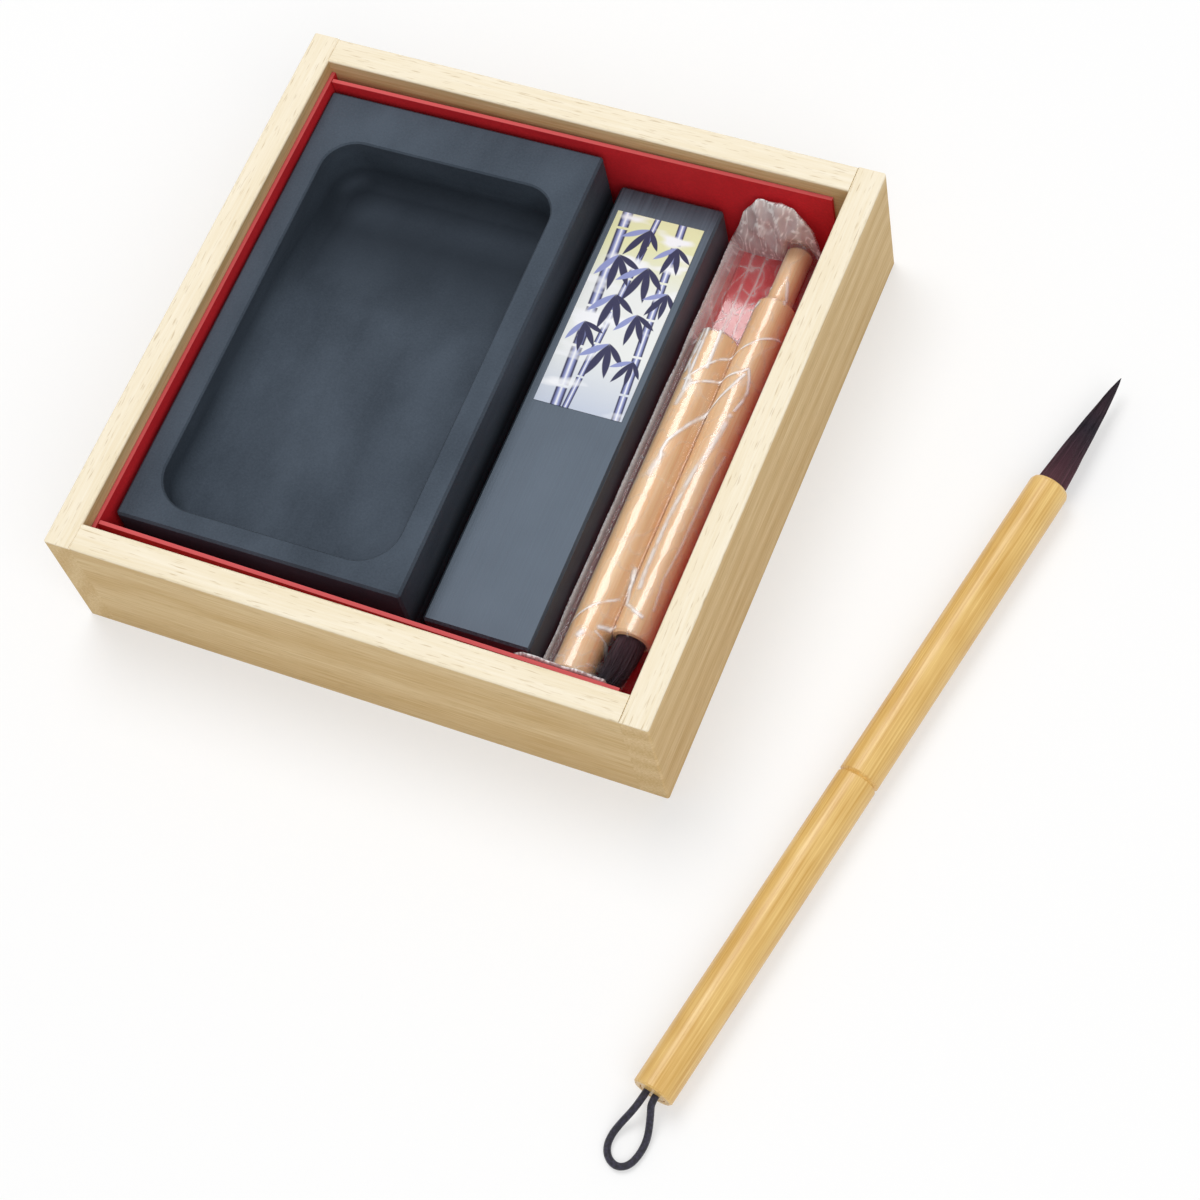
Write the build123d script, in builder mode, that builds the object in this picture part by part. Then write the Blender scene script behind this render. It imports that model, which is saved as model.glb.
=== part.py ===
from build123d import *
from math import cos, radians, sin, tan
import os

# A small calligraphy set: an open wooden box with a red card tray, an inkstone, an
# ink stick, a take-apart brush packed in clear film, and the brush put together,
# lying on the table beside the box.
#
# Frame: millimetres, +Z up. The origin is the middle of the box's underside, +X runs
# to the right along the front wall and +Y runs to the back wall.

# ---- box ----
box_side = 125.0
box_height = 30.5
wall_thickness = 5.8
board_thickness = 3.0
board_rebate = 2.8  # how far the bottom board reaches into each wall
box_arris = 0.5  # rounding of the box's outer edges

# ---- card tray ----
card = 0.8
tray_height = 24.0
tray_left = -56.6
tray_right = 54.4
tray_front = -55.9
tray_back = 56.6
corner_slit = 0.2  # the gap between two folded-up panels
front_lean = (1.5, 0.3)  # how far the front panel's top leans in, at its left and right ends
back_lean = (1.6, 0.0)

# ---- inkstone ----
stone_width = 60.8
stone_depth = 104.0
stone_height = 21.0
stone_middle = (-24.75, 1.9)
stone_turn = 0.5  # degrees, as it lies in the tray
hollow_width = 50.6
hollow_depth = 88.8
hollow_shift = -2.95  # the hollow sits nearer the front of the stone
hollow_back_radius = 7.0
hollow_front_radius = 8.3
land_below_top = 8.0
sea_below_top = 12.5
slope_start = 9.0  # along the stone from its middle, where the land starts to fall
slope_end = 31.0
slope_rounding = 22.0
hollow_cove = 3.2  # rounding between the hollow's walls and its floor
hollow_lip = 0.35  # bevel of the hollow's upper edge
stone_bevel = 0.5  # of all the block's outer edges

# ---- ink stick and its label ----
ink_width = 22.3
ink_length = 103.2
ink_height = 12.0
ink_middle = (19.25, 2.8)
ink_turn = 0.4
ink_bevel = 0.5
label_width = 18.6
label_length = 46.2
label_thickness = 0.15
label_middle = (19.1, 25.4)
label_turn = 0.9

# ---- brushes: the packed one and the one put together ----
packed_diameter = 8.2
packed_front_length = 78.2
packed_rear_length = 78.0
packed_tenon_length = 13.5
packed_front_joint_middle = (46.1, 40.2)
packed_rear_joint_middle = (37.85, 29.7)
loose_diameter = 8.0
loose_front_length = 70.8
loose_rear_length = 69.4
loose_tenon_length = 12.0
loose_joint_middle = (95.3, -49.2)
loose_turn = 78.6  # degrees from +X to the handle's axis
tenon_share = 0.66  # tenon diameter over handle diameter
tenon_clearance = 0.05  # radial
socket_extra = 0.8  # the socket is this much deeper than the tenon is long
joint_bevel = 0.5
mouth_share = 0.77  # bore for the tuft over handle diameter
mouth_depth = 7.0
mouth_rounding = 0.85
binding_thickness = 0.4
binding_length = 5.0
plug_share = 0.66
plug_length = 4.0
plug_bevel = 0.25
end_bevel = 0.35

# ---- tufts ----
loose_tuft_length = 27.6
loose_tuft_radius = 2.95
loose_rings = 8  # rings of hairs round the middle one
packed_rings = 5
hair_fullness = 0.47  # hair radius over the gap between two rings
tuft_taper = 0.71  # the tuft's radius falls as (1 - t) to this power

# ---- film bag ----
film = 0.3
bag_left = 31.35
bag_right = 51.2
bag_front = -53.9
bag_back = 54.5
bag_rise = 8.95
bag_shoulder = 4.2
bag_foot = 1.2
film_gap = 0.05  # between the film and the handles that lie on it

# ---- hanging loop ----
cord_diameter = 1.4
cord_sides = 8

tray_floor = board_thickness + card
inner_side = box_side - 2 * wall_thickness
board_side = inner_side + 2 * board_rebate
tray_top = board_thickness + tray_height
upwards = (Align.CENTER, Align.CENTER, Align.MIN)  # a box centred on its plane and standing on it

os.makedirs("parts", exist_ok=True)


def save(piece, name):
    piece.label = name
    export_step(piece, "parts/" + name + ".step")


def turned_plane(middle, height, degrees):
    """A level plane at a height, with its X axis turned from the frame's."""
    across = (cos(radians(degrees)), sin(radians(degrees)), 0)
    return Plane(origin=(middle[0], middle[1], height), x_dir=across, z_dir=(0, 0, 1))


# ================= box =================
# The side walls run the full depth and the front and back walls stand between them.
# The bottom board sits in a stopped rebate in all four walls.
with BuildPart() as left_wall:
    with BuildSketch(Plane.XY):
        with Locations(((wall_thickness - box_side) / 2, 0)):
            Rectangle(wall_thickness, box_side)
    extrude(amount=box_height)
    outer_corners = left_wall.edges().filter_by(Axis.Z).group_by(Axis.X)[0]
    top_edges = left_wall.faces().sort_by(Axis.Z)[-1].edges().filter_by(Axis.Y)
    fillet(outer_corners + top_edges, box_arris)
    Box(board_side, board_side, board_thickness, align=upwards, mode=Mode.SUBTRACT)
save(left_wall.part, "left_wall")

with BuildPart() as right_wall:
    mirror(left_wall.part, about=Plane.YZ)
save(right_wall.part, "right_wall")

with BuildPart() as front_wall:
    with BuildSketch(Plane.XY):
        with Locations((0, (wall_thickness - box_side) / 2)):
            Rectangle(inner_side, wall_thickness)
    extrude(amount=box_height)
    fillet(front_wall.faces().sort_by(Axis.Z)[-1].edges().filter_by(Axis.X), box_arris)
    Box(board_side, board_side, board_thickness, align=upwards, mode=Mode.SUBTRACT)
save(front_wall.part, "front_wall")

with BuildPart() as back_wall:
    mirror(front_wall.part, about=Plane.XZ)
save(back_wall.part, "back_wall")

with BuildPart() as bottom_board:
    with BuildSketch(Plane.XY):
        Rectangle(board_side, board_side)
    extrude(amount=board_thickness)
save(bottom_board.part, "bottom_board")


# ================= card tray =================
# One sheet of card: a floor with four panels folded up from it. The front and back
# panels lean in a little, more at their left ends.
def panel_section(x, fold, lean, inward):
    """The section of a leaning panel at one end of it, seen along X."""
    with BuildSketch(Plane.YZ.offset(x)) as section:
        with BuildLine():
            Polyline(
                (fold, board_thickness),
                (fold + inward * lean, tray_top),
                (fold + inward * (lean + card), tray_top),
                (fold + inward * card, board_thickness),
                close=True,
            )
        make_face()
    return section.sketch


panel_left = tray_left + card + corner_slit
panel_right = tray_right - card - corner_slit

with BuildPart() as card_tray:
    with BuildSketch(Plane.XY.offset(board_thickness)):
        with Locations(((tray_left + tray_right) / 2, (tray_front + tray_back) / 2)):
            Rectangle(tray_right - tray_left, tray_back - tray_front)
    extrude(amount=card)
    with BuildSketch(Plane.XY.offset(board_thickness)):
        for x in (tray_left + card / 2, tray_right - card / 2):
            with Locations((x, (tray_front + tray_back) / 2)):
                Rectangle(card, tray_back - tray_front)
    extrude(amount=tray_height)
    for fold, lean, inward in ((tray_front, front_lean, 1), (tray_back, back_lean, -1)):
        ends = [
            panel_section(panel_left, fold, lean[0], inward),
            panel_section(panel_right, fold, lean[1], inward),
        ]
        loft(sections=ends, ruled=True)
save(card_tray.part, "card_tray")

# ================= inkstone =================
# A rectangular block with a hollow: the level land at the front, where the stick is
# ground, falls in a slope to the deeper sea at the back, where the ink gathers.
stone_plane = turned_plane(stone_middle, tray_floor, stone_turn)
hollow_half = hollow_depth / 2
land_height = stone_height - land_below_top
sea_height = stone_height - sea_below_top
above_stone = stone_height + 2

with BuildPart() as stone_hollow:
    with BuildSketch(stone_plane) as mouth:
        with Locations((0, hollow_shift)):
            Rectangle(hollow_width, hollow_depth)
        fillet(mouth.vertices().group_by(Axis.Y)[0], hollow_front_radius)
        fillet(mouth.vertices().group_by(Axis.Y)[-1], hollow_back_radius)
    extrude(amount=above_stone)
    side_plane = Plane(origin=stone_plane.origin, x_dir=stone_plane.y_dir, z_dir=stone_plane.x_dir)
    with BuildSketch(side_plane) as floor_line:
        with BuildLine():
            Polyline(
                (hollow_shift - hollow_half - 1, land_height),
                (slope_start, land_height),
                (slope_end, sea_height),
                (hollow_shift + hollow_half + 1, sea_height),
                (hollow_shift + hollow_half + 1, above_stone),
                (hollow_shift - hollow_half - 1, above_stone),
                close=True,
            )
        make_face()
        fillet(floor_line.vertices().filter_by_position(Axis.X, slope_start, slope_end), slope_rounding)
    extrude(amount=hollow_width, both=True, mode=Mode.INTERSECT)
    floor_faces = [f for f in stone_hollow.faces() if f.normal_at().Z < -0.5]
    cove_edges = [e for f in floor_faces for e in f.edges()]
    side_faces = [f for f in stone_hollow.faces() if abs(f.normal_at().Z) < 0.1]
    side_edges = [e for f in side_faces for e in f.edges()]
    cove = [e for e in cove_edges if any(e.is_same(s) for s in side_edges)]
    fillet(cove, hollow_cove)

with BuildPart() as inkstone:
    with BuildSketch(stone_plane):
        Rectangle(stone_width, stone_depth)
    extrude(amount=stone_height)
    chamfer(inkstone.edges(), stone_bevel)
    add(stone_hollow.part, mode=Mode.SUBTRACT)
    rim = inkstone.faces().sort_by(Axis.Z)[-1].inner_wires()[0].edges()
    chamfer(rim, hollow_lip)
save(inkstone.part, "inkstone")

# ================= ink stick and label =================
with BuildPart() as ink_stick:
    with BuildSketch(turned_plane(ink_middle, tray_floor, ink_turn)):
        Rectangle(ink_width, ink_length)
    extrude(amount=ink_height)
    chamfer(ink_stick.edges(), ink_bevel)
save(ink_stick.part, "ink_stick")

with BuildPart() as ink_stick_label:
    with BuildSketch(turned_plane(label_middle, tray_floor + ink_height, label_turn)):
        Rectangle(label_width, label_length)
    extrude(amount=label_thickness)
save(ink_stick_label.part, "ink_stick_label")


# ================= brushes =================
# Each brush comes apart in the middle of its handle. The front half ends in a tenon
# that slides into a socket in the rear half. All pieces are turned round the handle's
# axis, from a plane at the joint whose X axis points to the tuft.
def turn_piece(joint, outline):
    """Revolve an outline of (along, radius) points."""
    with BuildPart() as piece:
        with BuildSketch(joint):
            with BuildLine():
                Polyline(*outline, close=True)
            make_face()
        revolve(axis=Axis(joint.origin, joint.x_dir))
    return piece.part


def front_handle(joint, diameter, length, tenon_length):
    """The half that holds the tuft: handle, mouth bore and tenon."""
    radius = diameter / 2
    tenon = radius * tenon_share
    mouth = radius * mouth_share
    bevel = joint_bevel
    rounded_mouth = []  # a quarter round in two flats
    for degrees in (0, 45, 90):
        along = length - mouth_rounding * (1 - sin(radians(degrees)))
        out = radius - mouth_rounding * (1 - cos(radians(degrees)))
        rounded_mouth.append((along, out))
    outline = [
        (-tenon_length, 0),
        (-tenon_length, tenon - bevel),
        (-tenon_length + bevel, tenon),
        (0, tenon),
        (0, radius - bevel),
        (bevel, radius),
        *rounded_mouth,
        (length, mouth),
        (length - mouth_depth, mouth),
        (length - mouth_depth, 0),
    ]
    return turn_piece(joint, outline)


def rear_handle(joint, diameter, length, tenon_length):
    """The half that the loop hangs from: socket for the tenon and bore for the end plug."""
    radius = diameter / 2
    socket = radius * tenon_share + tenon_clearance
    socket_depth = tenon_length + socket_extra
    plug = radius * plug_share
    bevel = joint_bevel
    outline = [
        (-socket_depth, 0),
        (-socket_depth, socket),
        (0, socket),
        (0, radius - bevel),
        (-bevel, radius),
        (-length + end_bevel, radius),
        (-length, radius - end_bevel),
        (-length, plug),
        (-length + plug_length, plug),
        (-length + plug_length, 0),
    ]
    return turn_piece(joint, outline)


def end_plug(joint, diameter, length):
    """The round plug in the end of the rear half, which the loop comes out of."""
    plug = diameter / 2 * plug_share
    outline = [
        (-length, 0),
        (-length, plug - plug_bevel),
        (-length + plug_bevel, plug),
        (-length + plug_length, plug),
        (-length + plug_length, 0),
    ]
    return turn_piece(joint, outline)


def tuft_binding(joint, diameter, length):
    """The thread bound round the root of the tuft, at the bottom of the mouth bore."""
    outer = diameter / 2 * mouth_share
    inner = outer - binding_thickness
    root = length - mouth_depth
    outline = [
        (root, inner),
        (root, outer),
        (root + binding_length, outer),
        (root + binding_length, inner),
    ]
    return turn_piece(joint, outline)


def hair_spots(rings):
    """Where the hairs stand across a bundle of radius 1, with the ring of each."""
    spots = [(0, Vector(0, 0))]
    for ring in range(1, rings + 1):
        for step in range(6 * ring):
            turn = radians(360 / (6 * ring) * step + 17 * ring)
            reach = ring / (rings + hair_fullness)
            spots.append((ring, Vector(reach * cos(turn), reach * sin(turn))))
    return spots


def hair(sections):
    """One three-sided hair: flat triangles between the corners of its sections."""
    faces = [Face(Wire.make_polygon(sections[0])), Face(Wire.make_polygon(sections[-1]))]
    for near, far in zip(sections, sections[1:]):
        for side in range(3):
            following = (side + 1) % 3
            faces.append(Face(Wire.make_polygon([near[side], near[following], far[following]])))
            faces.append(Face(Wire.make_polygon([near[side], far[following], far[side]])))
    return Solid(Shell(faces))


def hair_bundle(stations, rings):
    """One tapering hair a spot, through planes with the bundle's radius at each."""
    hairs = []
    for ring, spot in hair_spots(rings):
        last = len(stations) - (1 if ring > rings / 3 else 0)  # outer hairs stop short of the tip
        sections = []
        for plane, bundle_radius in stations[:last]:
            middle = plane.from_local_coords(spot * bundle_radius)
            reach = bundle_radius * hair_fullness / (rings + hair_fullness)
            turns = [radians(degrees) for degrees in (90, 210, 330)]
            sections.append([middle + (plane.x_dir * cos(a) + plane.y_dir * sin(a)) * reach for a in turns])
        hairs.append(hair(sections))
    return hairs


def tuft(joint, diameter, length, stations, rings):
    """The root slice of the tuft, inside its binding, with the hairs fused to it."""
    root_radius = diameter / 2 * mouth_share - binding_thickness
    root = length - mouth_depth
    outline = [
        (root, 0),
        (root, root_radius),
        (root + binding_length, root_radius),
        (root + binding_length, 0),
    ]
    with BuildPart() as piece:
        add(turn_piece(joint, outline))
        add(hair_bundle(stations, rings))
    return piece.part


def save_turned_pieces(prefix, front_joint, rear_joint, diameter, front_length, rear_length, tenon_length):
    """The four turned pieces that both brushes have."""
    save(front_handle(front_joint, diameter, front_length, tenon_length), prefix + "front_handle")
    save(rear_handle(rear_joint, diameter, rear_length, tenon_length), prefix + "rear_handle")
    save(end_plug(rear_joint, diameter, rear_length), prefix + "end_plug")
    save(tuft_binding(front_joint, diameter, front_length), prefix + "tuft_binding")


# ---- the brush packed in the bag, in its two halves side by side ----
packed_height = tray_floor + film + film_gap + packed_diameter / 2
packed_front_joint = Plane(
    origin=(*packed_front_joint_middle, packed_height), x_dir=(0, -1, 0), z_dir=(0, 0, 1)
)
packed_rear_joint = Plane(
    origin=(*packed_rear_joint_middle, packed_height), x_dir=(0, 1, 0), z_dir=(0, 0, 1)
)
save_turned_pieces(
    "packed_",
    packed_front_joint,
    packed_rear_joint,
    packed_diameter,
    packed_front_length,
    packed_rear_length,
    packed_tenon_length,
)

# The packed tuft is bent round to the left, because the bag is shorter than the half
# brush. Each station is the middle of the bundle, its heading from -Y towards -X in
# degrees, and the bundle's radius.
packed_bend = [
    (46.10, -35.8, 0, 2.62),
    (46.05, -40.0, 4, 3.00),
    (45.60, -45.0, 16, 2.65),
    (44.40, -49.5, 48, 1.95),
    (40.40, -51.7, 78, 1.35),
    (32.90, -52.3, 90, 0.35),
]
packed_stations = []
for x, y, heading, bundle_radius in packed_bend:
    ahead = (-sin(radians(heading)), -cos(radians(heading)), 0)
    across_bundle = Plane(origin=(x, y, packed_height), x_dir=(0, 0, 1), z_dir=ahead)
    packed_stations.append((across_bundle, bundle_radius))
packed_tuft = tuft(
    packed_front_joint, packed_diameter, packed_front_length, packed_stations, packed_rings
)
save(packed_tuft, "packed_tuft")

# ---- the brush put together, lying on the table ----
brush_ahead = (cos(radians(loose_turn)), sin(radians(loose_turn)), 0)
loose_joint = Plane(
    origin=(*loose_joint_middle, loose_diameter / 2), x_dir=brush_ahead, z_dir=(0, 0, 1)
)
save_turned_pieces(
    "",
    loose_joint,
    loose_joint,
    loose_diameter,
    loose_front_length,
    loose_rear_length,
    loose_tenon_length,
)

# The tuft starts inside the binding, swells out of the mouth and runs to a point. The
# shares are along its free length.
loose_root_radius = loose_diameter / 2 * mouth_share - binding_thickness
loose_stations = []
for share in (-0.08, 0.04, 0.45, 0.78, 0.98):
    if share < 0:
        bundle_radius = loose_root_radius
    else:
        bundle_radius = loose_tuft_radius * (1 - share) ** tuft_taper
    along = loose_front_length + share * loose_tuft_length
    middle = loose_joint.from_local_coords(Vector(along, 0))
    loose_stations.append((Plane(origin=middle, x_dir=(0, 0, 1), z_dir=brush_ahead), bundle_radius))
loose_tuft = tuft(loose_joint, loose_diameter, loose_front_length, loose_stations, loose_rings)
save(loose_tuft, "tuft")

# ================= hanging loop =================
# A limp cord: out of the end plug, down to the table, round in a drop-shaped loop and
# back into the plug.
loop_route = [
    (80.504, -117.013, 4.00),
    (80.069, -119.170, 4.00),
    (79.05, -121.35, 2.85),
    (77.75, -123.45, 1.55),
    (76.80, -125.75, 0.80),
    (76.75, -128.20, 0.72),
    (77.90, -130.10, 0.72),
    (79.90, -130.95, 0.72),
    (81.75, -130.00, 0.72),
    (82.65, -128.00, 0.72),
    (83.05, -125.90, 0.75),
    (83.05, -123.95, 1.10),
    (82.75, -122.15, 1.90),
    (82.42, -120.45, 3.00),
    (82.050, -118.957, 4.00),
    (82.367, -117.389, 4.00),
]


def corner_radii(points):
    """The largest even arc at each corner: 0.45 of its shorter run over tan(half the turn)."""
    radii = []
    for before, here, after in zip(points, points[1:], points[2:]):
        run_in = Vector(*here) - Vector(*before)
        run_out = Vector(*after) - Vector(*here)
        half_turn = radians(run_in.get_angle(run_out) / 2)
        radii.append(0.45 * min(run_in.length, run_out.length) / tan(half_turn))
    return radii


loop_radii = corner_radii(loop_route)
print("loop radii", [round(r, 2) for r in loop_radii])

with BuildPart() as hanging_loop:
    with BuildLine() as route:
        FilletPolyline(*loop_route, radius=loop_radii)
    with BuildSketch(Plane(origin=route.line @ 0, z_dir=route.line % 0)) as cord_section:
        RegularPolygon(cord_diameter / 2, cord_sides)
    sweep(path=route.line)
save(hanging_loop.part, "hanging_loop")
loop_length = route.wires()[0].length
loop_volume = cord_section.sketch.area * loop_length
print("loop length", round(loop_length, 2))
print("section times length", round(loop_volume, 2), "volume", round(hanging_loop.part.volume, 2))

# ================= film bag =================
# A loose tube of clear film round the two half brushes. Its sealed ends, the tails,
# stand up against the tray's back and front panels. Their points are (x, z).
back_tail = [(35.6, 11.0), (34.4, 14.6), (39.8, 24.6), (45.6, 25.4), (49.2, 21.2), (49.9, 11.0)]
front_tail = [(35.2, 11.0), (31.8, 24.0), (32.6, 26.6), (37.0, 26.2), (49.9, 24.0), (49.9, 11.0)]

with BuildPart() as brush_bag:
    with BuildSketch(Plane.XZ.offset(-bag_back)) as bag_outline:
        with Locations(((bag_left + bag_right) / 2, tray_floor + bag_rise / 2)):
            Rectangle(bag_right - bag_left, bag_rise)
        fillet(bag_outline.vertices().group_by(Axis.Y)[-1], bag_shoulder)
        fillet(bag_outline.vertices().group_by(Axis.Y)[0], bag_foot)
    extrude(amount=bag_back - bag_front)
    with BuildSketch(Plane.XZ.offset(-bag_back + film)):
        add(bag_outline.sketch.faces())
        offset(amount=-film)
    extrude(amount=bag_back - bag_front - 2 * film, mode=Mode.SUBTRACT)
    for tail, tail_plane in (
        (back_tail, Plane.XZ.offset(-bag_back)),
        (front_tail, Plane.XZ.offset(-bag_front - film)),
    ):
        with BuildSketch(tail_plane):
            with BuildLine():
                Polyline(*tail, close=True)
            make_face()
        extrude(amount=film)
save(brush_bag.part, "brush_bag")
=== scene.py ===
import math

import bmesh
import bpy
import numpy as np
from mathutils import Matrix, Vector, noise


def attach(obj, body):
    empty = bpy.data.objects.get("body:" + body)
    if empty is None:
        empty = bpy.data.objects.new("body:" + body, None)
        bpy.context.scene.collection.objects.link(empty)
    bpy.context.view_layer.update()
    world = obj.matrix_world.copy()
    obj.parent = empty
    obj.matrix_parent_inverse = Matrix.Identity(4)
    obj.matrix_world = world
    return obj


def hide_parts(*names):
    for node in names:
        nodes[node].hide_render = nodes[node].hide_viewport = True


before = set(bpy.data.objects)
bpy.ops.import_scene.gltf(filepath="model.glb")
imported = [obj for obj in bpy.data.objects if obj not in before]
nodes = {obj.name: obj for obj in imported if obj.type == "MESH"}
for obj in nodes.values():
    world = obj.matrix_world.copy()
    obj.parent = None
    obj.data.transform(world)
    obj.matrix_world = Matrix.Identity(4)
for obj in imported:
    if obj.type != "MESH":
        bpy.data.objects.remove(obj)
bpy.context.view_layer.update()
mm = 0.001  # sizes are noted in millimetres, and Blender works in metres


# Small helpers that every piece below uses.
def srgb(text):  # "#rrggbb" as the linear colour that a socket wants
    parts = [int(text[i:i + 2], 16) / 255 for i in (1, 3, 5)]
    return [c / 12.92 if c <= 0.04045 else ((c + 0.055) / 1.055) ** 2.4 for c in parts] + [1]


def setInputs(tree, node, inputs):  # a socket is linked, anything else is set as the value
    for name, value in inputs.items():
        if isinstance(value, bpy.types.NodeSocket):
            tree.links.new(value, node.inputs[name])
        else:
            node.inputs[name].default_value = value


def addNode(tree, kind, inputs=None, ramp=None, **settings):
    node = tree.nodes.new(kind)
    for name, value in settings.items():
        setattr(node, name, value)
    setInputs(tree, node, inputs or {})
    if ramp:  # (place, "#rrggbb") or (place, grey)
        stops = node.color_ramp.elements
        while len(stops) < len(ramp):
            stops.new(0.5)
        for stop, (place, colour) in zip(stops, ramp):
            stop.position = place
            stop.color = srgb(colour) if isinstance(colour, str) else (colour, colour, colour, 1)
    return node


def newMaterial(name):
    material = bpy.data.materials.new(name)
    material.use_nodes = True
    tree = material.node_tree
    return material, tree, tree.nodes["Principled BSDF"]


def paint(material, *names):  # a CAD node keeps its mesh and gets a better material
    for name in names:
        materials = nodes[name].data.materials
        materials.clear()
        materials.append(material)


def wavesOf(size):  # a Wave Texture's scale for bands of this many millimetres
    return math.tau / (20 * size * mm)


# What every painted surface ends with. The relief's depth is in millimetres.
def finishSurface(tree, shader, colour, roughness, relief, strength, depth, gloss=None):
    bump = addNode(tree, "ShaderNodeBump", {"Height": relief, "Strength": strength, "Distance": depth * mm})
    setInputs(tree, shader, {"Base Color": colour, "Roughness": roughness, "Normal": bump.outputs["Normal"]})
    setInputs(tree, shader, gloss or {})


def putInScene(name, data, body, replaced=()):
    piece = bpy.data.objects.new(name, data)
    bpy.context.scene.collection.objects.link(piece)
    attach(piece, body)
    if replaced:
        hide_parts(*replaced)
    return piece


# The camera stands where the photograph was taken from, worked out from the box's corners.
cameraSettings = {
    "place": (0.19548, -0.23539, 0.48564),
    "target": (0.03421, -0.02789, 0.0),
    "roll": -17.53,  # degrees about its own axis
    "lens": 85.34,
}


def makeCamera():
    data = bpy.data.cameras.new("camera")
    data.lens = cameraSettings["lens"]
    data.sensor_width = 36
    camera = bpy.data.objects.new("camera", data)
    bpy.context.scene.collection.objects.link(camera)
    place = Vector(cameraSettings["place"])
    look = Vector(cameraSettings["target"]) - place
    turn = look.to_track_quat("-Z", "Y").to_matrix()
    roll = Matrix.Rotation(math.radians(cameraSettings["roll"]), 3, "Z")
    camera.matrix_world = Matrix.Translation(place) @ (turn @ roll).to_4x4()
    bpy.context.scene.camera = camera


makeCamera()
print("camera done")


# The cord: out of the plug in the handle's end, down to the table, round and back in.
cordSettings = {
    "diameter": 1.4,
    "length": 32.5,
    "braid": 0.55,  # mm between two crossings of the braid
    "dark": "#120F1E",
    "light": "#2B2740",
    "route": [  # the same points as in the CAD, in mm
        (80.504, -117.013, 4.00),
        (80.069, -119.170, 4.00),
        (79.05, -121.35, 2.85),
        (77.75, -123.45, 1.55),
        (76.80, -125.75, 0.80),
        (76.75, -128.20, 0.72),
        (77.90, -130.10, 0.72),
        (79.90, -130.95, 0.72),
        (81.75, -130.00, 0.72),
        (82.65, -128.00, 0.72),
        (83.05, -125.90, 0.75),
        (83.05, -123.95, 1.10),
        (82.75, -122.15, 1.90),
        (82.42, -120.45, 3.00),
        (82.050, -118.957, 4.00),
        (82.367, -117.389, 4.00),
    ],
}


def makeCord():
    route = cordSettings["route"]
    curve = bpy.data.curves.new("hanging_cord", "CURVE")
    curve.dimensions = "3D"
    spline = curve.splines.new("NURBS")
    spline.points.add(len(route) - 1)
    for point, (x, y, z) in zip(spline.points, route):
        point.co = (x * mm, y * mm, z * mm, 1)
    spline.order_u = 3
    spline.use_endpoint_u = True
    spline.resolution_u = 12
    curve.bevel_depth = cordSettings["diameter"] / 2 * mm
    curve.bevel_resolution = 4
    curve.use_fill_caps = True

    # Thin braided polyester: dull, with small pale and dark lozenges where the strands cross.
    material, tree, shader = newMaterial("braided polyester cord")
    place = addNode(tree, "ShaderNodeTexCoord")
    crossings = addNode(tree, "ShaderNodeTexVoronoi", {"Vector": place.outputs["Object"],
                                                       "Scale": 1 / (cordSettings["braid"] * mm)})
    colour = addNode(tree, "ShaderNodeValToRGB", {"Fac": crossings.outputs["Distance"]},
                     ramp=[(0.1, cordSettings["light"]), (0.75, cordSettings["dark"])])
    bump = addNode(tree, "ShaderNodeBump", {"Height": crossings.outputs["Distance"], "Strength": 0.8,
                                            "Distance": 0.12 * mm}, invert=True)
    setInputs(tree, shader, {"Base Color": colour.outputs["Color"], "Roughness": 0.62,
                             "Sheen Weight": 0.3, "Normal": bump.outputs["Normal"]})
    curve.materials.append(material)

    cord = putInScene("hanging_cord", curve, "brush_rear", ["hanging_loop"])


makeCord()
print("cord done")


# The pale sweep that it all stands on, a big soft lamp over the far left corner and a
# broad fill from the near right.
lightSettings = {
    "worldStrength": 0.5,
    "lamps": {  # place, width and power
        "softbox": ((-0.4, 0.45, 1.4), 0.9, 9.5),
        "fill": ((0.8, -0.7, 1.1), 1.2, 7.0),
    },
    "floorWhite": 0.42,  # share of the floor's white that the shadows don't reach
    "sweepHalf": 3.0,  # metres
}


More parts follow.
